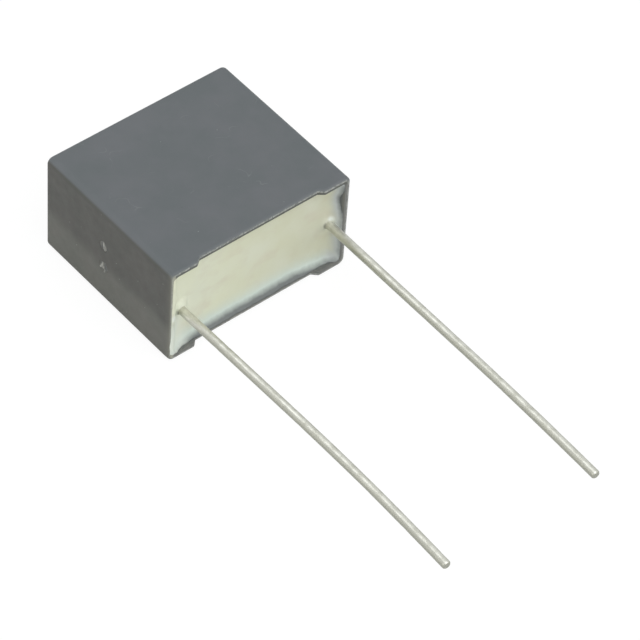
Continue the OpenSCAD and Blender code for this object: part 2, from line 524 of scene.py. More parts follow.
@dataclass(frozen=True)
class MouldedPlastic:
    """Filled polyester, moulded with a fine matt grain, a little worn at its edges, with a painted
    highlight on its edges, painted shade on the upper land and painted light and shade on the gate
    end.
    """

    name: str = "moulded_case_plastic"
    body: Triple = srgb(106, 109, 112)
    shade: Triple = srgb(100, 105, 107)
    # A pale tone for specks, lint and worn edges; on the edges it also paints their highlight.
    accent_tone: Triple = srgb(200, 202, 197)
    # Torn plastic of the gates, also used for the painted highlight on one arc of their rims.
    scar: Triple = srgb(170, 170, 164)
    land: Triple = srgb(122, 121, 116)
    # Painted shade: the land of the upper wall is darker.
    shaded_upper_land: Triple = srgb(82, 84, 75)
    # Painted light on the rounded lip of the gate end.
    lip: Triple = srgb(166, 166, 150)
    dirt: Triple = (0.03, 0.03, 0.03)
    # Painted shade and painted light for the gate end, as factors.
    end_painted_shade: Triple = (0.665, 0.61, 0.53)
    end_painted_light: Triple = (1.0, 0.93, 0.79)
    patches: Cloud = Cloud(0.35, 3.0, 0.35, 0.65)
    fine: Cloud = Cloud(14.0, 3.0, to_high=0.22, roughness=0.65)
    mottle: Cloud = Cloud(2.8, 3.0, 0.35, 0.7, 0.45)
    chips: Cloud = Cloud(4.0, 4.0, 0.42, 0.6, 0.12, roughness=0.8)
    torn: Cloud = Cloud(5.0, 3.0, 0.35, 0.6, 0.45)
    gloss: Cloud = Cloud(1.3, 4.0, to_low=0.47, to_high=0.6)
    swell: Cloud = Cloud(1.4, 3.0)
    drift: Cloud = Cloud(0.3, 2.0)
    pale_specks: Specks = Specks(1.1, 0.06, 0.3)
    dark_specks: Specks = Specks(1.6, 0.05, 0.25, 37.0)
    lint: Lint = Lint(0.6, 0.010, 0.62)
    lint_level: Pair = (9.6, 9.7)
    land_level: Pair = (9.0, 9.25)
    end_face: Pair = (-8.7, -8.82)
    end_level: Pair = (5.6, 3.9)
    end_drift: float = 1.6

    def material(self) -> bpy.types.Material:
        """Builds the finish.

        Returns:
            The material.
        """
        coat = Coat(self.name)
        fine = coat.raw(self.fine)
        colour = coat.mix(coat.cloud(self.patches), self.body, self.shade)
        colour = coat.mix(coat.spread(fine, self.fine), colour, self.shade)
        # Painted light and shade on the gate end.
        colour = self.end_light_and_shade(coat, colour)
        # Painted shade: the land darkens towards the upper wall.
        land = coat.mix(coat.remap(coat.z, *self.land_level), self.land, self.shaded_upper_land)
        pale = coat.specks(self.pale_specks)
        marks = coat.times(coat.lint(self.lint), coat.remap(coat.z, *self.lint_level))
        # Worn edges, whose pale tone also paints the edges' highlight.
        rubbing_and_highlight = coat.times(coat.weight(WearAndLight.EDGE), coat.cloud(self.chips))
        colour = coat.tint(
            colour,
            (coat.weight(WearAndLight.LAND), coat.cloud(self.mottle), land),
            (pale, 0.35, self.accent_tone),
            (coat.specks(self.dark_specks), 0.4, self.dirt),
            (marks, 0.08, self.accent_tone),
            (rubbing_and_highlight, 0.9, self.accent_tone),
            # Painted light on the rounded lip of the gate end.
            (coat.weight(WearAndLight.LIP), 1.0, self.lip),
            # Gate scars, which also paint a highlight on one arc of their rims.
            (coat.weight(WearAndLight.GATE), coat.cloud(self.torn), self.scar),
        )
        coat.surface(Base_Color=colour, Roughness=coat.cloud(self.gloss), Specular_IOR_Level=0.42)
        coat.bump((coat.raw(self.swell), 0.010), (fine, 0.0035), (pale, 0.010), (marks, 0.004))
        return coat.material

    def end_light_and_shade(self, coat: Coat, colour: Socket) -> Socket:
        """Paints shade and light on the end that has the gates: painted shade in its upper half,
        warm painted light lower down.

        Args:
            coat: The material under way.
            colour: Its colour so far.

        Returns:
            The new colour.
        """
        level = coat.scaled(coat.raw(self.drift), self.end_drift, coat.z)
        lit_share = coat.remap(level, *self.end_level, curve="SMOOTHSTEP")
        lit_and_shaded = coat.mix(1.0, colour, coat.mix(lit_share, self.end_painted_shade, self.end_painted_light), "MULTIPLY")
        return coat.mix(coat.remap(coat.x, *self.end_face), colour, lit_and_shaded)


@dataclass(frozen=True)
class CastResin:
    """Cream casting resin, smooth where it set, thinning to a dark film at the walls, with painted
    light, glints and shadows in its colour.
    """

    name: str = "cast_cream_resin"
    # Painted light and shade: lighter to the left, darker to the right.
    left: Triple = srgb(226, 229, 204)
    right: Triple = srgb(204, 204, 178)
    pale: Triple = srgb(219, 222, 206)
    warm: Triple = srgb(202, 192, 172)
    # Pale cool tone where the resin climbs: painted light.
    film: Triple = srgb(208, 219, 211)
    right_film_light: Triple = srgb(192, 197, 196)
    thin: Triple = srgb(112, 116, 116)
    # Painted light around the wires, at their glints and in the lower-left corner.
    collar: Triple = srgb(236, 241, 233)
    # Painted shadow under the wires.
    root: Triple = srgb(96, 97, 84)
    dust: Triple = srgb(140, 136, 118)
    milky: Cloud = Cloud(0.28, 3.0, 0.4, 0.7, to_high=0.5)
    patches: Cloud = Cloud(0.5, 2.0, 0.52, 0.72, along=(1.0, 1.0, 1.4))
    uneven: Cloud = Cloud(1.8, 3.0)
    gloss: Cloud = Cloud(0.9, 3.0, to_low=0.35, to_high=0.5)
    swell: Cloud = Cloud(0.8, 3.0)
    fine: Cloud = Cloud(9.0, 2.0)
    specks: Specks = Specks(1.3, 0.06, 0.22, 15.0)
    across: Pair = (-8.0, 7.0)
    right_end: Pair = (6.9, 7.9)
    film_weight: Pair = (0.12, 0.62)
    thin_weight: Pair = (0.55, 0.84)
    uneven_weight: Pair = (0.05, 0.3)
    uneven_share: float = 0.14

    def material(self) -> bpy.types.Material:
        """Builds the finish.

        Returns:
            The material.
        """
        coat = Coat(self.name)
        # Painted light and shade across the resin, lighter to the left.
        colour = coat.mix(coat.remap(coat.x, *self.across), self.left, self.right)
        colour = coat.mix(coat.cloud(self.milky), colour, self.pale)
        colour = coat.tint(colour, (coat.cloud(self.patches), 0.3, self.warm))

        # The film weight darkens the resin where it thins over the wall, and at its lower values
        # paints a pale cool light where it climbs.
        film = coat.weight(WearAndLight.FILM)
        uneven = coat.scaled(coat.raw(self.uneven), self.uneven_share, -self.uneven_share / 2)
        film = coat.plus(film, coat.times(uneven, coat.remap(film, *self.uneven_weight)))
        tone = coat.mix(coat.remap(coat.x, *self.right_end), self.film, self.right_film_light)
        colour = coat.mix(coat.remap(film, *self.film_weight, curve="SMOOTHSTEP"), colour, tone)
        colour = coat.mix(coat.remap(film, *self.thin_weight), colour, self.thin)

        # Painted light around the wires.
        colour = coat.mix(coat.weight(WearAndLight.COLLAR), colour, self.collar)
        # Painted shadow under the wires, then dust specks.
        colour = coat.tint(colour, (coat.weight(WearAndLight.ROOT), 0.75, self.root),
                           (coat.specks(self.specks), 0.3, self.dust))
        coat.surface(Base_Color=colour, Roughness=coat.cloud(self.gloss), Specular_IOR_Level=0.45)
        coat.bump((coat.raw(self.swell), 0.018), (coat.raw(self.fine), 0.0016))
        return coat.material


@dataclass(frozen=True)
class TinnedWire:
    """Copper-clad steel wire, drawn and then tinned: bright, with drawn lines, dull spots and
    painted shade on all but its top.
    """

    name: str = "tinned_wire"
    bright: Triple = srgb(234, 233, 224)
    dull: Triple = srgb(198, 197, 185)
    # Painted shade for all but the top of the wire.
    accent_tone: Triple = srgb(175, 175, 164)
    lines: Cloud = Cloud(1.6, 3.0, 0.35, 0.7, to_high=0.35, roughness=0.6, along=(5.0, 0.16, 5.0))
    spots: Cloud = Cloud(2.4, 4.0, 0.4, roughness=0.6, along=(1.0, 0.6, 1.0))
    axis_z: float = 4.575
    shade_from: float = 0.27
    shade_to: float = 0.43
    shade_drift: float = 0.12
    near_case: Pair = (-10.5, -8.6)
    gloss: Pair = (0.32, 0.52)

    def material(self) -> bpy.types.Material:
        """Builds the finish.

        Returns:
            The material.
        """
        coat = Coat(self.name)
        lines, spots = coat.raw(self.lines), coat.raw(self.spots)
        colour = coat.mix(coat.spread(spots, self.spots), self.bright, self.dull)
        colour = coat.mix(coat.spread(lines, self.lines), colour, self.dull)
        # Painted shade below a level a little above the wire's axis, weaker near the case.
        level = coat.plus(coat.z, coat.times(lines, self.shade_drift))
        below = coat.remap(level, self.axis_z + self.shade_from, self.axis_z + self.shade_to,
                           1.0, 0.0)
        colour = coat.tint(colour, (below, coat.remap(coat.y, *self.near_case, 1.0, 0.35),
                                    self.accent_tone))
        rough = coat.remap(coat.plus(spots, lines), 0.7, 1.3, *self.gloss)
        coat.surface(Base_Color=colour, Roughness=rough, Metallic=0.8)
        coat.bump((lines, 0.004), (spots, 0.003))
        return coat.material


@dataclass(frozen=True)
class SprayedMetal:
    """Zinc alloy, sprayed on as fine drops that froze into a rough crust."""

    name: str = "sprayed_zinc"
    light: Triple = srgb(182, 182, 184)
    dark: Triple = srgb(122, 122, 126)
    crust: Cloud = Cloud(4.0, 4.0, to_low=0.5, to_high=0.75, roughness=0.7)
    drops: float = 7.0

    def material(self) -> bpy.types.Material:
        """Builds the finish.

        Returns:
            The material.
        """
        coat = Coat(self.name)
        drops = coat.cells(coat.mm, self.drops).outputs["Distance"]
        crust = coat.raw(self.crust)
        colour = coat.mix(coat.remap(drops, 0.1, 0.6), self.light, self.dark)
        coat.surface(Base_Color=colour, Metallic=0.85, Roughness=coat.spread(crust, self.crust))
        coat.bump((crust, 0.05), (drops, -0.03))
        return coat.material


@dataclass(frozen=True)
class WoundFilm:
    """Thin plastic film in many turns, with or without its metal layer."""

    name: str
    light: Triple
    dark: Triple
    metal: float
    matt: float
    turns: Cloud = Cloud(2.0, 3.0, 0.35, 0.65, roughness=0.7, along=(0.05, 6.0, 6.0))
    creases: Cloud = Cloud(0.8, 4.0, along=(0.3, 1.0, 1.0))

    def material(self) -> bpy.types.Material:
        """Builds the finish.

        Returns:
            The material.
        """
        coat = Coat(self.name)
        turns, creases = coat.raw(self.turns), coat.raw(self.creases)
        colour = coat.mix(coat.spread(turns, self.turns), self.light, self.dark)
        rough = coat.remap(creases, self.creases.low, self.creases.high,
                           self.matt, self.matt + 0.15)
        coat.surface(Base_Color=colour, Metallic=self.metal, Roughness=rough)
        coat.bump((turns, 0.004), (creases, 0.03))
        return coat.material


# --- Case


@dataclass(frozen=True)
class Ring:
    """One closed row of points around the case, at y, where it follows the rim by a share."""

    half_x: float
    half_z: float
    radius: float
    y: float
    follow: float = 0.0


@dataclass
class Outline:
    """The shared layout of the points in every ring, counted around the mouth."""

    long_side: list[float]
    gate_side: list[float]
    plain_side: list[float]
    corner_steps: int = 8

    def points(self, ring: Ring) -> list[Pair]:
        """Points of one ring, counter-clockwise as X goes right and Z goes up.

        Args:
            ring: The ring.

        Returns:
            Pairs of X and Z, from the middle of the case.
        """
        made: list[Pair] = []
        half_x, half_z, radius = ring.half_x, ring.half_z, ring.radius
        sides = (
            [(x, -half_z) for x in self.long_side],
            [(half_x, z) for z in self.plain_side],
            [(-x, half_z) for x in self.long_side],
            [(-half_x, -z) for z in self.gate_side],
        )
        centres = ((1, -1), (1, 1), (-1, 1), (-1, -1))
        for turn, (side, (sx, sz)) in enumerate(zip(sides, centres)):
            made += side
            cx, cz = sx * (half_x - radius), sz * (half_z - radius)
            for k in range(self.corner_steps + 1):
                angle = math.radians(-90 + 90 * turn + 90 * k / self.corner_steps)
                made.append((cx + radius * math.cos(angle), cz + radius * math.sin(angle)))
        return made


@dataclass(frozen=True)
class Tear:
    """A straight torn line across a gate scar, and how strongly it shows."""

    start: Pair
    end: Pair
    share: float

    def away(self, point: Vector) -> float:
        """Distance from a point to the line.

        Args:
            point: The point, from the middle of the scar.

        Returns:
            The distance.
        """
        first, whole = Vector(self.start), Vector(self.end) - Vector(self.start)
        share = clamp((point - first).dot(whole) / whole.length_squared)
        return (point - first - whole * share).length


@dataclass(frozen=True)
class GateScar:
    """A round gate scar: its side of the middle, its tears and how wide they are."""

    side: int
    wide: float
    tears: tuple[Tear, ...]


@dataclass
class CaseShell:
    """The moulded case: drafted walls, four corner feet and the scars of two gates.

    Sizes are in millimetres, as in the part's source.
    """

    end_wall: float = 0.5
    side_wall: float = 0.55
    back_wall: float = 0.8
    draft: float = math.tan(math.radians(0.4))
    corner_r: float = 0.6
    back_edge_r: float = 0.35
    mouth_edge_r: float = 0.2
    lip_r: float = 0.06
    core_r: float = 0.3
    core_bevel: float = 0.15
    least_r: float = 0.02
    foot_l: float = 2.55
    foot_h: float = 0.38
    foot_ramp: float = 0.55
    ramp_ease: float = 0.4
    gate_d: float = 1.1
    gate_depth: float = 0.14
    stub_w: float = 0.13
    stub_h: float = 0.12
    stub_fade: float = 0.09
    gate_pitch: float = 2.25
    gate_from_back: float = 7.4
    scars: tuple[GateScar, ...] = (
        GateScar(1, 1.4, (Tear((0.05, 0.26), (-0.09, -0.26), 1.0),
                          Tear((-0.02, 0.12), (-0.17, -0.2), 0.85))),
        GateScar(-1, 1.0, (Tear((0.12, 0.30), (0.33, -0.24), 0.9),
                           Tear((0.12, 0.30), (0.06, -0.22), 1.0),
                           Tear((0.06, -0.22), (-0.14, -0.46), 0.4))),
    )
    sink: float = 0.03
    lip_l: float = 0.75
    lip_lean: float = 0.06
    dip: float = 0.13
    dip_l: float = 1.2
    flash_least: float = 0.02
    flash_most: float = 0.06
    edge_band_w: float = 0.11
    flash_left: Ramp = Ramp(0.8, -0.3)
    wall_follow: Ramp = Ramp(0.55, 0.45)
    land_rise: Ramp = Ramp(-0.06, 0.06)
    lip_inward: Ramp = Ramp(0.0, 0.3)
    lip_sides: Ramp = Ramp(0.12, 0.3)
    lip_light_share: Pair = (0.16, 0.85)
    lean_left: Ramp = Ramp(0.35, -0.35)
    dip_side: Ramp = Ramp(0.6, -0.1)
    arc_inset: float = 0.12
    arc_w: float = 0.09
    margin: float = 0.05
    walls_grid: Triple = (0.16, 0.05, 0.12)
    ends_grid: Triple = (0.2, 0.045, 0.1)
    depth_grid: float = 0.4
    finish: MouldedPlastic = MouldedPlastic()

    def __post_init__(self) -> None:
        """Takes the place and the outer sizes from the solid."""
        low, high = (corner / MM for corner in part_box("case"))
        self.half_x = (high.x - low.x) / 2
        self.half_z = (high.z - low.z) / 2
        self.mid = Vector(((high.x + low.x) / 2, 0.0, (high.z + low.z) / 2))
        self.feet_y, self.back_y = low.y, high.y
        self.core_y = high.y - self.back_wall
        self.gate_y = high.y - self.gate_from_back

    def rim(self, x: float) -> float:
        """Y of the mouth's edge at x, with the feet and their ramps."""
        share = clamp((self.half_x - self.foot_l - abs(x)) / self.foot_ramp)
        return self.feet_y + self.foot_h * blend(share, smooth(share), self.ramp_ease)

    def height(self, ring: Ring, x: float) -> float:
        """Y of a ring at x."""
        return ring.y + ring.follow * (self.rim(x) - self.feet_y)

    def room(self, y: float) -> Triple:
        """Size of the inside.

        Args:
            y: Position along Y.

        Returns:
            Its half sizes along X and Z, and its corner radius.
        """
        narrowing = (y - self.feet_y) * self.draft
        return (self.half_x - self.end_wall - narrowing,
                self.half_z - self.side_wall - narrowing,
                max(self.least_r, self.core_r - narrowing))

    def layout(self) -> Outline:
        """Spaces the points of a ring, finer at the ramps and the gates.

        Returns:
            The layout.
        """
        end_x = self.half_x - self.end_wall - self.core_r - self.margin
        end_z = self.half_z - self.side_wall - self.core_r - self.margin
        flat, gate = self.half_x - self.foot_l, self.gate_pitch / 2
        reach = self.gate_d / 2 + self.margin
        return Outline(
            banded(end_x, flat - self.foot_ramp - self.margin, flat + self.margin,
                   self.walls_grid),
            banded(end_z, gate - reach, gate + reach, self.ends_grid),
            stations([(-end_z, self.ends_grid[0])], end_z))

    def rings(self) -> list[Ring]:
        """Lists the rings of the shell.

        Returns:
            Every ring, from the closed back round the mouth to the inside.
        """
        made: list[Ring] = []

        def outer(inset: float, y: float, follow: float = 0.0) -> None:
            """Adds a ring at an inset from the outside."""
            made.append(Ring(self.half_x - inset, self.half_z - inset,
                             max(self.least_r, self.corner_r - inset), y, follow))

        def inner(at: float, grow: float, y: float, follow: float = 0.0) -> None:
            """Adds a ring on the inside as it is at a depth, grown by a little."""
            half_x, half_z, radius = self.room(at)
            made.append(Ring(half_x + grow, half_z + grow, radius + grow, y, follow))

        for curve_in, curve_up in quarter(6):
            outer(self.back_edge_r * curve_up, self.back_y - self.back_edge_r * curve_in)

        top = self.back_y - self.back_edge_r
        reach = self.gate_d / 2 + self.margin
        end = top - self.feet_y - self.mouth_edge_r
        fine = self.ends_grid[1]
        for level in stations([(self.margin, self.depth_grid), (top - self.gate_y - reach, fine),
                               (top - self.gate_y + reach, self.depth_grid), (end - 0.8, 0.1)],
                              end):
            outer(0.0, top - level, self.wall_follow.at(level / end))

        for curve_in, curve_up in quarter(6, 1):
            outer(self.mouth_edge_r * curve_in, self.feet_y + self.mouth_edge_r * curve_up, 1.0)
        half_x, half_z, radius = (size + self.lip_r for size in self.room(self.feet_y))
        edge, lands = made[-1], 4
        for k in range(1, lands + 1):
            made.append(Ring(blend(edge.half_x, half_x, k / lands),
                             blend(edge.half_z, half_z, k / lands),
                             blend(edge.radius, radius, k / lands), self.feet_y, 1.0))
        for curve_in, curve_up in quarter(3, 1):
            inner(self.feet_y, self.lip_r * curve_up, self.feet_y + self.lip_r * curve_in, 1.0)

        bevel_y = self.core_y - self.core_bevel
        for y in stations([(self.feet_y + 0.7, 0.12), (self.feet_y + 1.6, 2.5)], bevel_y):
            inner(y, 0.0, y)
        inner(bevel_y, -self.core_bevel, self.core_y)
        return made

    def gate_relief(self, y: float, z: float) -> Pair:
        """Depth of the gate scars at a point of the end that has them.

        Args:
            y: Position along Y.
            z: Position along Z, from the middle.

        Returns:
            The depth in millimetres and the weight of the torn plastic, which also paints a
            highlight on the upper back arc of the rim.
        """
        scar_r = self.gate_d / 2
        for scar in self.scars:
            place = Vector((y - self.gate_y, z - scar.side * self.gate_pitch / 2))
            away = math.hypot(*place)
            if away > scar_r:
                continue
            torn = 0.5 + 0.5 * grain(y * 4, z * 4, scar.side * 3)
            width = self.stub_w * (0.8 + 0.5 * torn) * scar.wide
            stub = max(clamp((width - tear.away(place)) / self.stub_fade) * tear.share
                       for tear in scar.tears)
            dish = self.gate_depth * clamp((scar_r - away) / self.gate_depth)
            depth = dish - (self.stub_h - 0.05 * torn) * stub
            # Painted highlight on the arc of the rim towards the back and the top.
            arc_highlight = clamp(1 - abs(away - scar_r + self.arc_inset) / self.arc_w) * (0.5 + 0.5 * torn)
            arc_highlight *= clamp(0.2 + place.x * 2) * clamp(0.6 + place.y)
            return max(depth, 0.0), clamp(stub * 1.1 + arc_highlight)
        return 0.0, 0.0

    def flash(self, x: float, z: float) -> float:
        """How far the outer edge of the mouth stands proud, in a ragged line of flash.

        Args:
            x: Position along X.
            z: Position along Z, from the middle.

        Returns:
            The height of the flash.
        """
        ragged = grain(x * 1.7, z * 1.7, 5.0) + 0.6 * grain(x * 4.6, z * 4.6, 9.0)
        share = (1.0 if z > 0 else 0.4) * (1 - 0.8 * self.flash_left.at(self.half_x + x))
        return (self.flash_least + self.flash_most * clamp(ragged * 1.3)) * share

    def hollow(self, x: float, y: float, z: float) -> Pair:
        """Sinks a point of the outer walls into their slight hollow.

        Args:
            x: Position along X.
            y: Position along Y.
            z: Position along Z, from the middle.

        Returns:
            The new X and Z.
        """
        share = (y - self.feet_y) / (self.back_y - self.feet_y)
        depth = self.sink * max(0.0, 4 * share * (1 - share))
        if abs(z) >= self.half_z - 1e-6:
            z -= math.copysign(depth * (1 - (x / self.half_x) ** 2), z)
        elif abs(x) >= self.half_x - 1e-6:
            x -= math.copysign(depth * 0.5 * (1 - (z / self.half_z) ** 2), x)
        return x, z

    def shaped(self, ring: Ring, x: float, z: float) -> tuple[Triple, dict[WearAndLight, float]]:
        """Gives a point of a ring its small relief and its weights.

        Args:
            ring: The ring.
            x: Position along X.
            z: Position along Z, from the middle.

        Returns:
            The point's place, and one value for each weight.
        """
        above_rim = self.height(ring, 0.0) - self.rim(0.0)
        inset = self.half_x - ring.half_x
        at_rim = above_rim < 0.03 and inset < self.end_wall + 0.01
        # Weight of the worn outer edge of the mouth, which also paints its highlight.
        edge = clamp(1 - abs(inset - self.mouth_edge_r) / self.edge_band_w) if at_rim else 0.0
        land = self.land_rise.line(inset - self.mouth_edge_r) if above_rim < 0.1 else 0.0
        y, scar = self.height(ring, x), 0.0
        if inset < 1e-6:
            if x <= -self.half_x + 1e-6:
                depth, scar = self.gate_relief(y, z)
                x += depth
            x, z = self.hollow(x, y, z)
        lip = clamp(1 - (y - self.feet_y) / self.lip_l) ** 2
        inward = self.lip_inward.line(self.half_x + x)
        # Painted light on the rounded lip of the gate end, brighter towards the inside.
        shown = lip * blend(*self.lip_light_share, inward) if x < self.end_wall - self.half_x else 0.0
        shown *= self.lip_sides.line(self.half_z - abs(z))
        y += self.dip * clamp((self.rim(x) - self.feet_y) / self.foot_h) * clamp(
            1 - (y - self.feet_y) / self.dip_l) * self.dip_side.line(self.half_z + z)
        lip *= self.lean_left.line(self.half_x + x)
        place = (x + self.lip_lean * lip, y - edge * self.flash(x, z), z)
        return place, {WearAndLight.EDGE: edge, WearAndLight.LAND: land, WearAndLight.GATE: scar, WearAndLight.LIP: shown}

    def build(self) -> Thing:
        """Makes the case and puts it on the part.

        Returns:
            The finished object.
        """
        layout = self.layout()
        mesh = bmesh.new()
        weights: dict[WearAndLight, list[float]] = {}
        rows: list[list[bmesh.types.BMVert]] = []
        for ring in self.rings():
            rows.append([])
            for x, z in layout.points(ring):
                place, found = self.shaped(ring, x, z)
                rows[-1].append(mesh.verts.new(place))
                for key, value in found.items():
                    weights.setdefault(key, []).append(value)
        for first, second in zip(rows, rows[1:]):
            for k in range(len(first)):
                mesh.faces.new((first[k - 1], second[k - 1], second[k], first[k]))
        mesh.faces.new(rows[0])
        mesh.faces.new(rows[-1][::-1])
        made = seal(mesh, "case_shell", self.mid, weights, self.finish.material())
        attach(made, BODY)
        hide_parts("case")
        return made


# --- Resin


@dataclass(frozen=True)
class Root:
    """Where a wire leaves the resin, from the middle of the case, and its collar's height."""

    x: float
    z: float
    up: float


@dataclass
class ResinCasting:
    """The cast resin: a level middle that climbs at the walls and up the wires.

    Sizes are in millimetres. Heights of the surface are counted towards the mouth.
    """

    case: CaseShell
    drop: float = 0.95
    level_waves: float = 0.03
    collar_r: float = 1.15
    wire_r: float = 0.4
    roots: tuple[Root, ...] = (Root(-7.33, -0.3, 0.48), Root(7.57, -0.3, 0.2))
    # Painted light: glints beside the wires, a pale collar around them and the lower-left corner;
    # painted shadow under them.
    glints: tuple[Pair, ...] = ((-8.4, -0.15), (7.75, 0.16))
    glint_fade: Ramp = Ramp(0.39, -0.3)
    root_shadow_line: Ramp = Ramp(0.13, -0.13)
    root_shade: Ramp = Ramp(0.1, -0.4)
    collar_light_fade: Ramp = Ramp(0.85, -0.85)
    collar_light_levels: Pair = (0.15, 0.34)
    corner_light: float = 0.5
    corner_x: Ramp = Ramp(-6.0, -1.5)
    corner_z: Ramp = Ramp(-0.7, -1.0)
    wide_film: Fade = Fade(0.34, 0.12, 0.9)
    near_film: Fade = Fade(0.46, 0.0, 0.4)
    top_film: Fade = Fade(0.0, 0.12, 0.6)
    top_rise: Ramp = Ramp(2.8, 0.8)
    bottom_film: Fade = Fade(0.0, 1.0, 1.2)
    bottom_left: Ramp = Ramp(-8.2, 4.0)
    bottom_right: Ramp = Ramp(4.0, 3.0)
    left_film: Ramp = Ramp(-6.6, -1.2)
    left_low: Ramp = Ramp(0.8, -2.5)
    top: Fade = Fade(0.42, 1.0, 0.32)
    bottom: Fade = Fade(0.58, 1.0, 0.45)
    right: Fade = Fade(1.0, 0.7, 0.4)
    left: Fade = Fade(0.8, 0.3, 0.5)
    bare_z: float = 2.2
    bare_l: float = 0.95
    bared: Fade = Fade(0.0, 0.46, 0.5)
    lap_end: float = 0.3
    lap_start: Ramp = Ramp(0.25, -0.25)
    lap_over: Ramp = Ramp(0.16, -0.1)
    proud: float = 0.03
    highest: float = 0.92
    highest_climb: float = 0.95
    skirt_y: float = 1.4
    grid_x: Triple = (1.9, 0.05, 0.1)
    grid_z: Triple = (1.5, 0.06, 0.09)
    finish: CastResin = CastResin()

    def __post_init__(self) -> None:
        """Takes the inside of the case at the level of the resin."""
        self.level_y = self.case.feet_y + self.drop
        self.half_x, self.half_z, self.radius = self.case.room(self.level_y)

    def bare(self, z: float) -> float:
        """Weight of the stretch of the right wall that the resin left bare."""
        ragged = 0.15 * grain(z * 2.0, 1.0, 6.0)
        return math.exp(-((z - self.bare_z + ragged) / self.bare_l) ** 2)

    def climb(self, x: float, z: float) -> float:
        """How far the surface has climbed at a point, because of the walls.

        Args:
            x: Position along X, from the middle.
            z: Position along Z, from the middle.

        Returns:
            The climb above the level middle, in millimetres.
        """
        waver = 0.10 * grain(x * 0.9, z * 0.9, 2.0) + 0.05 * grain(x * 3, z * 3, 4.0)
        to_right = self.half_x - x
        total = self.top.at(max(0.0, self.half_z - z), waver)
        total += self.bottom.at(self.half_z + z, waver)
        total += self.right.at(to_right, waver)
        total += self.left.at(max(0.0, self.half_x + x), waver)
        bared = self.bared.at(to_right, self.bare(z))
        return min(min(total, self.highest_climb) - bared, self.highest)

    def away(self, x: float, z: float) -> tuple[float, float, float, float]:
        """Finds the nearest wire.

        Args:
            x: Position along X, from the middle.
            z: Position along Z, from the middle.

        Returns:
            Distance to it, X and Z from its axis, and the height of its collar.
        """
        return min((math.hypot(x - root.x, z - root.z) - self.wire_r, x - root.x, z - root.z,
                    root.up) for root in self.roots)

    def surface(self, x: float, z: float) -> float:
        """Y of the resin's surface at a point.

        Args:
            x: Position along X, from the middle.
            z: Position along Z, from the middle.

        Returns:
            The position along Y.
        """
        away, _, _, up = self.away(x, z)
        collar = up * clamp(1 - away / (self.collar_r - self.wire_r)) ** 2
        climb = self.climb(x, z)
        total = max(climb, collar) + 0.25 * min(climb, collar)
        total += self.level_waves * grain(x * 0.35, z * 0.35, 7.0)
        over = self.lap_over.at(self.half_x + x)
        return blend(self.level_y - min(total, self.highest), self.case.rim(x) - self.proud, over)

    def lapped(self, x: float, z: float) -> float:
        """X of a point once the resin has run onto the left land of the mouth."""
        left = self.lap_start.at(self.half_x + x)
        return x - left * (self.lap_end + 0.03 * grain(2.0, z * 0.8, 3.0) - 0.014 * z)

    def film(self, x: float, z: float) -> float:
        """How thin the resin is at a point, which also places a painted cool light.

        Args:
            x: Position along X, from the middle.
            z: Position along Z, from the middle.

        Returns:
            The weight of the film, 1 where the wall shows through; its low values paint a pale
            cool light.
        """
        to_right = max(0.0, self.half_x - x)
        thick = blend(0.72, 1.0, self.bottom_left.at(x))
        thick *= blend(1.0, 0.78, self.bottom_right.at(x))
        bottom = self.bottom_film.at(self.half_z + z, thick)
        right = self.wide_film.at(to_right, self.bare(z)) + self.near_film.at(to_right)
        right += self.top_film.at(to_right, self.top_rise.at(z))
        # Near the left wall the weight stays low, so it only paints pale light.
        left = 0.4 * self.left_film.line(x) * blend(0.4, 1.0, self.left_low.at(z))
        return clamp(max(bottom, right, left))

    def root_tones(self, x: float, z: float) -> Pair:
        """Painted shade and light of the resin near the wires.

        Args:
            x: Position along X, from the middle.
            z: Position along Z, from the middle.

        Returns:
            Weights of the painted shadow below a wire and of the painted light around it: the
            collar, the glints and the lower-left corner.
        """
        away, dx, dz, _ = self.away(x, z)
        # Painted shadow on the lower-left side of each wire.
        below = self.root_shade.line(dx + dz)
        # Painted light: the glints, the collar and the lower-left corner.
        glint = max(self.glint_fade.line(math.hypot(x - glint_x, (z - glint_z) * 0.8))
                    for glint_x, glint_z in self.glints)
        collar = self.collar_light_levels[x > 0] * self.collar_light_fade.line(away) ** 1.3 * (1 - 0.6 * below)
        corner = self.corner_light * self.corner_x.at(x) * self.corner_z.at(z)
        return self.root_shadow_line.line(away) * below, max(collar, glint, corner)

    def rounded(self, x: float, z: float) -> Pair:
        """Moves a point of a square corner into the rounded one.

        Args:
            x: Position along X.
            z: Position along Z.

        Returns:
            The new X and Z.
        """
        centre_x, centre_z = self.half_x - self.radius, self.half_z - self.radius
        a, b = (abs(x) - centre_x) / self.radius, (abs(z) - centre_z) / self.radius
        if a <= 0 or b <= 0:
            return x, z
        a, b = a * math.sqrt(1 - b * b / 2), b * math.sqrt(1 - a * a / 2)
        return (math.copysign(centre_x + self.radius * a, x),
                math.copysign(centre_z + self.radius * b, z))

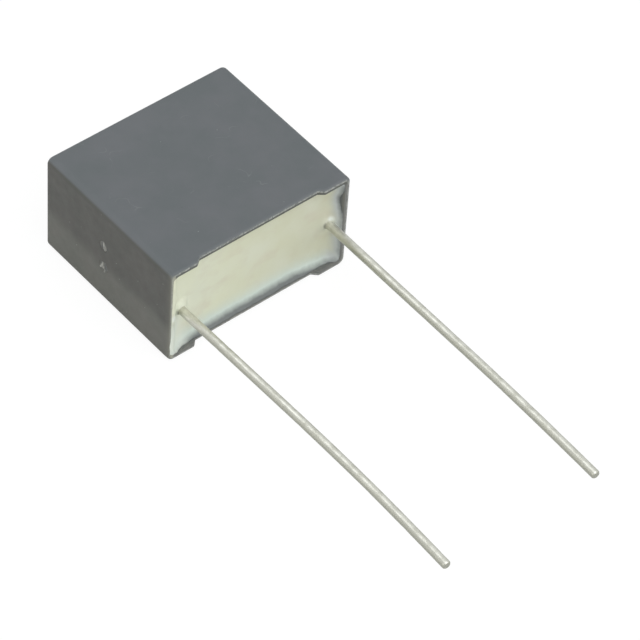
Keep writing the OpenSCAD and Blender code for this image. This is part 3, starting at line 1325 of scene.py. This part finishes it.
    def build(self) -> Thing:
        """Makes the casting and puts it on the part.

        Returns:
            The finished object.
        """
        case, half_x, half_z = self.case, self.half_x, self.half_z
        mesh = bmesh.new()
        weights: dict[WearAndLight, list[float]] = {WearAndLight.FILM: [], WearAndLight.ROOT: [], WearAndLight.COLLAR: []}
        rows: list[list[bmesh.types.BMVert]] = []
        xs, zs = (stations([(-half, fine), (border - half, wide), (half - border, fine)], half)
                  for half, border, fine, wide in ((half_x, *self.grid_x), (half_z, *self.grid_z)))
        for x in xs:
            rows.append([])
            for z in zs:
                px, pz = self.rounded(x, z)
                px = self.lapped(px, pz)
                y = self.surface(px, pz)
                if px < -half_x - 0.01 and len(rows) == 1:
                    y += 2 * self.proud
                narrow = (self.level_y - y) * case.draft
                rows[-1].append(mesh.verts.new((px * (1 + narrow / half_x), y,
                                                pz * (1 + narrow / half_z))))
                for key, value in zip(weights, (self.film(px, pz), *self.root_tones(px, pz))):
                    weights[key].append(value)
        for first, second in zip(rows, rows[1:]):
            for j in range(len(first) - 1):
                mesh.faces.new((first[j], second[j], second[j + 1], first[j + 1]))
        above = border = ([row[0] for row in rows] + rows[-1][1:] +
                          [row[-1] for row in rows[-2::-1]] + rows[0][-2:0:-1])
        for y, inset in ((case.feet_y + self.skirt_y, 0.0), (case.core_y - case.core_bevel, 0.0),
                         (case.core_y, case.core_bevel)):
            room_x, room_z, _ = case.room(y)
            below = [mesh.verts.new((vert.co.x * (room_x - inset) / half_x, y,
                                     vert.co.z * (room_z - inset) / half_z)) for vert in border]
            for values in weights.values():
                values += [0.0] * len(below)
            for k in range(len(border)):
                mesh.faces.new((above[k - 1], above[k], below[k], below[k - 1]))
            above = below
        mesh.faces.new(above)
        made = seal(mesh, "resin_casting", case.mid, weights, self.finish.material())
        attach(made, BODY)
        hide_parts("resin_fill")
        return made


# --- Wires


class WireTree(NodeWriter):
    """Geometry nodes that draw one lead: round, stepped sideways, and pressed flat."""

    INPUTS = ("Side", "Half Pitch", "Height", "Tip", "Root", "Radius", "Step Start",
              "Step Length", "Step", "Press Start", "Press Length", "End", "Blade Width",
              "Blade Thickness", "Cut Bevel", "Shift", "Lean", "Bow", "Sway", "Nick Depth")
    ROWS = 430
    AROUND = 30
    CUT_SHARE = 0.78
    FLAT_START = 0.96
    DENT_STRETCH: Triple = (1.0, 0.45, 1.0)
    LINE_STRETCH: Triple = (6.0, 0.12, 6.0)

    def __init__(self, finish: bpy.types.Material) -> None:
        """Builds the tree for a given finish."""
        super().__init__(bpy.data.node_groups.new("drawn_lead", "GeometryNodeTree"))
        face = self.tree.interface
        face.new_socket("Geometry", in_out="OUTPUT", socket_type="NodeSocketGeometry")
        self.sockets = {name: face.new_socket(name, in_out="INPUT",
                                              socket_type="NodeSocketFloat")
                        for name in self.INPUTS}
        group = self.add("NodeGroupInput")
        self.given = {name: group.outputs[name] for name in self.INPUTS}
        self.close(self.nicked(self.pressed(self.tube())), finish)

    def position(self) -> Socket:
        """The point's place."""
        return self.add("GeometryNodeInputPosition").outputs[0]

    def vector(self, *values: object) -> Socket:
        """Joins three values into a vector."""
        return self.add("ShaderNodeCombineXYZ", dict(enumerate(values))).outputs[0]

    def between(self, y: Socket, start: object, length: object,
                curve: str = "SMOOTHSTEP") -> Socket:
        """How far y has gone along a stretch, 0 to 1."""
        return self.remap(y, start, self.plus(start, length), curve=curve)

    def stepped(self, y: Socket) -> Socket:
        """How far the wire has stepped sideways at y, 0 to 1."""
        return self.between(y, self.given["Step Start"], self.given["Step Length"])

    def axis_x(self, y: Socket) -> Socket:
        """X of the wire's axis, without its bow."""
        off = self.scaled(self.stepped(y), self.given["Step"], self.given["Half Pitch"])
        return self.times(self.given["Side"], off)

    def moved(self, geometry: Socket, **sockets: object) -> Socket:
        """Moves points, by the inputs of the Set Position node."""
        return self.add("GeometryNodeSetPosition", {"Geometry": geometry, **sockets}).outputs[0]

    def tube(self) -> Socket:
        """Draws the wire's path with a round section around it.

        Returns:
            The round wire.
        """
        given = self.given
        line = self.add("GeometryNodeCurvePrimitiveLine", {
            "Start": self.vector(0.0, given["Tip"], 0.0),
            "End": self.vector(0.0, given["End"], 0.0)})
        path = self.add("GeometryNodeResampleCurve", {"Curve": line.outputs[0],
                                                      "Count": self.ROWS})
        _, y, _ = self.parts(self.position())
        length = self.math("SUBTRACT", given["Tip"], given["Root"])
        along = self.between(y, given["Root"], length, "LINEAR")
        free = self.math("SUBTRACT", 1.0, self.stepped(y))
        x = self.scaled(free, given["Shift"], self.axis_x(y))
        for shape, name in ((along, "Lean"),
                            (self.math("SINE", self.times(along, math.pi)), "Bow"),
                            (self.math("SINE", self.times(along, 2 * math.pi)), "Sway")):
            x = self.scaled(shape, given[name], x)
        placed = self.moved(path.outputs[0], Offset=self.vector(x, 0.0, given["Height"]))

        cut = self.between(y, given["Tip"], given["Cut Bevel"], "LINEAR")
        radius = self.scaled(cut, 1 - self.CUT_SHARE, self.CUT_SHARE)
        sized = self.add("GeometryNodeSetCurveRadius", {"Curve": placed, "Radius": radius})
        section = self.add("GeometryNodeCurvePrimitiveCircle", {"Resolution": self.AROUND,
                                                                "Radius": given["Radius"]})
        return self.add("GeometryNodeCurveToMesh", {
            "Curve": sized.outputs[0], "Profile Curve": section.outputs[0], "Fill Caps": True,
            "Scale": self.add("GeometryNodeInputRadius").outputs[0]}).outputs[0]

    def pressed(self, tube: Socket) -> Socket:
        """Presses the inner end flat, wider as it thins.

        Args:
            tube: The round wire.

        Returns:
            The pressed wire.
        """
        given = self.given
        x, y, z = self.parts(self.position())
        share = self.between(y, given["Press Start"], given["Press Length"], "LINEAR")
        axis = self.axis_x(y)
        wide = self.math("DIVIDE", given["Blade Width"], self.times(given["Radius"], 2.0))
        widen = self.scaled(self.math("SUBTRACT", wide, 1.0), share, 1.0)
        start = self.times(given["Radius"], self.FLAT_START)
        end = self.times(given["Blade Thickness"], 0.5)
        limit = self.scaled(self.math("SUBTRACT", end, start), share, start)
        grown = self.times(self.math("SUBTRACT", x, axis), widen)
        held = self.math("MAXIMUM", self.math("MINIMUM", grown, limit), self.times(limit, -1.0))
        tall = self.times(self.math("SUBTRACT", z, given["Height"]), widen)
        place = self.vector(self.plus(axis, held), y, self.plus(given["Height"], tall))
        inside = self.math("GREATER_THAN", y, given["Press Start"])
        return self.moved(tube, Selection=inside, Position=place)

    def stretched(self, place: Socket, factors: Triple) -> Socket:
        """A place times three factors."""
        return self.add("ShaderNodeVectorMath", {0: place, 1: factors},
                        operation="MULTIPLY").outputs[0]

    def nicked(self, tube: Socket) -> Socket:
        """Presses shallow dents and drawn lines into the free wire.

        Args:
            tube: The pressed wire.

        Returns:
            The nicked wire.
        """
        given = self.given
        place = self.position()
        _, y, _ = self.parts(place)
        dents = self.remap(self.noise(self.stretched(place, self.DENT_STRETCH), 1.9, 2.0),
                           0.55, 0.8)
        lines = self.remap(self.noise(self.stretched(place, self.LINE_STRETCH), 1.0, 2.0),
                           0.4, 0.7, 0.0, 0.22)
        depth = self.times(self.plus(dents, lines), given["Nick Depth"])
        free = self.times(self.math("LESS_THAN", y, given["Step Start"]),
                          self.between(y, given["Tip"], 0.5))
        push = self.add("ShaderNodeVectorMath", {
            0: self.add("GeometryNodeInputNormal").outputs[0],
            "Scale": self.times(self.times(depth, free), -1.0)}, operation="SCALE")
        return self.moved(tube, Offset=push.outputs[0])

    def close(self, tube: Socket, finish: bpy.types.Material) -> None:
        """Brings the wire to metres and ends the tree.

        Args:
            tube: The wire, in millimetres.
            finish: Its material.
        """
        sized = self.add("GeometryNodeTransform", {"Geometry": tube, "Scale": (MM, MM, MM)})
        real = self.add("GeometryNodeRealizeInstances", {0: sized.outputs[0]})
        dressed = self.add("GeometryNodeSetMaterial", {"Geometry": real.outputs[0],
                                                       "Material": finish})
        self.add("NodeGroupOutput", {0: dressed.outputs[0]})


class Side(Enum):
    """Which of the two leads a wire is."""

    LEFT = -1
    RIGHT = 1

    @property
    def node(self) -> str:
        """Name of the lead's solid."""
        return f"lead_{self.name.lower()}"


@dataclass
class TinnedLead:
    """One tinned wire. Sizes are in millimetres; its place comes from its solid.

    A size with the name of one of the tree's inputs goes to that input.
    """

    side: Side
    tree: WireTree
    shift: float
    lean: float
    bow: float
    sway: float
    cut_short: float = 0.02
    radius: float = 0.37
    pitch: float = 15.0
    step: float = 0.12
    step_start: float = 0.5
    step_length: float = 0.9
    press_length: float = 1.05
    blade_width: float = 1.2
    blade_thickness: float = 0.44
    cut_bevel: float = 0.1
    nick_depth: float = 0.022

    def build(self, case: CaseShell) -> Thing:
        """Makes the wire and puts it on the part.

        Args:
            case: The case that the wire leaves.

        Returns:
            The finished object.
        """
        low, high = (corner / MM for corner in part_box(self.side.node))
        step_y = case.feet_y + self.step_start
        places = {
            "Side": self.side.value, "Half Pitch": self.pitch / 2, "Height": (low.z + high.z) / 2,
            "Tip": low.y + self.cut_short, "Root": case.feet_y, "Step Start": step_y,
            "Press Start": step_y + self.step_length, "End": high.y,
        }
        holder = new_object("wire_holder", bpy.data.meshes.new("wire_holder"))
        modifier = holder.modifiers.new("lead", "NODES")
        modifier.node_group = self.tree.tree
        for name, socket in self.tree.sockets.items():
            own = getattr(self, name.lower().replace(" ", "_"), None)
            modifier[socket.identifier] = float(places.get(name, own))
        graph = bpy.context.evaluated_depsgraph_get()
        data = bpy.data.meshes.new_from_object(holder.evaluated_get(graph))
        holder.modifiers.clear()
        bpy.data.objects.remove(holder)
        data.name = f"wire_{self.side.name.lower()}"
        mesh = bmesh.new()
        mesh.from_mesh(data)
        bmesh.ops.remove_doubles(mesh, verts=mesh.verts, dist=1e-8)
        bmesh.ops.recalc_face_normals(mesh, faces=mesh.faces)
        store(mesh, data)
        made = new_object(data.name, data)
        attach(made, BODY)
        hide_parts(self.side.node)
        return made


# --- Winding, inside the resin


@dataclass
class Winding:
    """The wound element inside the resin, which keeps its solids."""

    metallised: WoundFilm = WoundFilm("metallised_film", srgb(196, 200, 204),
                                      srgb(158, 162, 168), 0.75, 0.3)
    plain: WoundFilm = WoundFilm("plain_cover_film", srgb(214, 216, 208),
                                 srgb(190, 192, 184), 0.0, 0.32)
    sprayed: SprayedMetal = SprayedMetal()

    def dress(self) -> list[Thing]:
        """Gives each solid its finish.

        Returns:
            The solids.
        """
        sprayed = self.sprayed.material()
        finishes = {
            "film_winding": self.metallised.material(),
            "cover_wrap": self.plain.material(),
            "end_spray_left": sprayed,
            "end_spray_right": sprayed,
        }
        for name, finish in finishes.items():
            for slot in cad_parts[name].material_slots:
                slot.material = finish
        return [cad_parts[name] for name in finishes]


# --- Studio


def facing(azimuth: float, elevation: float) -> Vector:
    """Direction from the part to a place around it, from two angles in degrees."""
    a, e = math.radians(azimuth), math.radians(elevation)
    return Vector((math.sin(a) * math.cos(e), -math.cos(a) * math.cos(e), math.sin(e)))


def stand(name: str, data: bpy.types.ID, place: Vector, back: Vector, roll: float = 0.0) -> Thing:
    """Puts a lamp or the camera in its place.

    Args:
        name: The object's name.
        data: The lamp or the camera.
        place: Where it stands.
        back: Direction that it faces away from.
        roll: Turn about its own axis, in degrees.

    Returns:
        The object.
    """
    made = new_object(name, data)
    made.location = place
    made.rotation_mode = "QUATERNION"
    level = (-back).to_track_quat("-Z", "Y")
    made.rotation_quaternion = level @ Quaternion((0, 0, 1), math.radians(roll))
    return made


@dataclass(frozen=True)
class SoftBox:
    """A large soft lamp, aimed at the part. Its level is what it adds to a white surface."""

    name: str
    azimuth: float
    elevation: float
    size: float
    level: float
    colour: Triple
    distance: float = 0.9

    def build(self, aim: Vector) -> Thing:
        """Makes the lamp.

        Args:
            aim: Point that it lights.

        Returns:
            The lamp.
        """
        data = bpy.data.lights.new(self.name, "AREA")
        data.shape = "SQUARE"
        data.size = self.size
        data.color = self.colour
        data.energy = self.level * math.pi ** 2 * self.distance ** 2
        back = facing(self.azimuth, self.elevation)
        return stand(self.name, data, aim + back * self.distance, back)


@dataclass
class Studio:
    """The pale floor, the lamps and the camera."""

    azimuth: float = -43.074
    elevation: float = 47.579
    roll: float = 4.562
    distance: float = 284.09
    lens: float = 208.58
    aim_shift: Pair = (0.34, 0.79)
    floor_size: float = 3.0
    floor_gap: float = 0.00002
    floor_colour: Triple = (0.86, 0.86, 0.85)
    floor_white: float = 1.06
    floor_share: float = 0.86
    room_colour: Triple = (0.97, 0.99, 1.0)
    sky: float = 0.45
    sheen: float = 0.35
    lamps: tuple[SoftBox, ...] = (
        SoftBox("key_softbox", -8.0, 62.0, 0.7, 0.42, (0.97, 0.99, 1.0)),
        SoftBox("front_softbox", 30.0, 14.0, 0.6, 0.22, (1.0, 0.985, 0.93)),
        SoftBox("side_softbox", -95.0, 12.0, 0.5, 0.2, (1.0, 0.97, 0.93)),
        SoftBox("back_softbox", 192.0, 58.0, 0.55, 0.12, (0.97, 0.99, 1.0)),
    )

    def camera(self, middle: Vector) -> None:
        """Makes the camera and aims it.

        Args:
            middle: Middle of the part.
        """
        data = bpy.data.cameras.new("camera")
        data.lens = self.lens
        data.sensor_width = 36.0
        data.clip_start, data.clip_end = 0.01, 50.0
        aim = middle + Vector((*self.aim_shift, 0.0)) * MM
        back = facing(self.azimuth, self.elevation)
        place = aim + back * self.distance * MM
        bpy.context.scene.camera = stand("camera", data, place, back, self.roll)

    def floor(self, low: Vector) -> None:
        """Makes the floor, which shows white and keeps the part's shadow.

        Args:
            low: Lowest corner of the part.
        """
        mesh = bmesh.new()
        bmesh.ops.create_grid(mesh, x_segments=2, y_segments=2, size=self.floor_size)
        made = new_object("floor", bpy.data.meshes.new("floor"))
        mesh.to_mesh(made.data)
        mesh.free()
        made.location.z = low.z - self.floor_gap
        material = bpy.data.materials.new("pale_floor")
        material.use_nodes = True
        tree = NodeWriter(material.node_tree)
        path = tree.add("ShaderNodeLightPath").outputs
        matt = tree.add("ShaderNodeBsdfDiffuse", {"Color": self.floor_colour})
        white = tree.add("ShaderNodeEmission", {"Strength": self.floor_white})
        seen = tree.math("MAXIMUM", path["Is Camera Ray"], path["Is Transmission Ray"])
        both = tree.add("ShaderNodeMixShader", {0: tree.times(seen, self.floor_share),
                                                1: matt.outputs[0], 2: white.outputs[0]})
        tree.add("ShaderNodeOutputMaterial", {"Surface": both.outputs[0]})
        made.data.materials.append(material)
        made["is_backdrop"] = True

    def world(self) -> None:
        """Lights the room evenly and shows it white."""
        world = bpy.data.worlds.new("room")
        world.use_nodes = True
        tree = NodeWriter(world.node_tree)
        path = tree.add("ShaderNodeLightPath").outputs
        light = tree.scaled(path["Is Glossy Ray"], self.sheen, self.sky)
        room = tree.add("ShaderNodeBackground", {"Color": self.room_colour, "Strength": light})
        white = tree.add("ShaderNodeBackground")
        both = tree.add("ShaderNodeMixShader", {0: path["Is Camera Ray"], 1: room.outputs[0],
                                                2: white.outputs[0]})
        tree.add("ShaderNodeOutputWorld", {"Surface": both.outputs[0]})
        bpy.context.scene.world = world

    def build(self) -> None:
        """Sets everything up around the part."""
        low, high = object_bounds()
        middle = (low + high) / 2
        self.camera(middle)
        self.floor(low)
        self.world()
        for lamp in self.lamps:
            lamp.build(middle)
        bpy.context.scene.view_settings.view_transform = "Standard"


# --- Log and order of building


def report(made: Thing) -> None:
    """Logs one piece with its size."""
    size = [round(value / MM, 2) for value in made.dimensions]
    log.info("%s: %d faces, %s mm", made.name, len(made.data.polygons), size)


def main() -> None:
    """Builds the pieces in order."""
    logging.basicConfig(level=logging.INFO, format="%(name)s: %(message)s")
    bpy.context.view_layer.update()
    Studio().build()

    case = CaseShell()
    report(case.build())
    report(ResinCasting(case).build())
    tree = WireTree(TinnedWire().material())
    for lead in (TinnedLead(Side.LEFT, tree, shift=0.189, lean=-0.165, bow=0.279, sway=-0.051,
                            cut_short=0.29),
                 TinnedLead(Side.RIGHT, tree, shift=0.068, lean=-0.556, bow=0.146,
                            sway=-0.041)):
        report(lead.build(case))
    for solid in Winding().dress():
        report(solid)


if __name__ == "__main__":
    main()
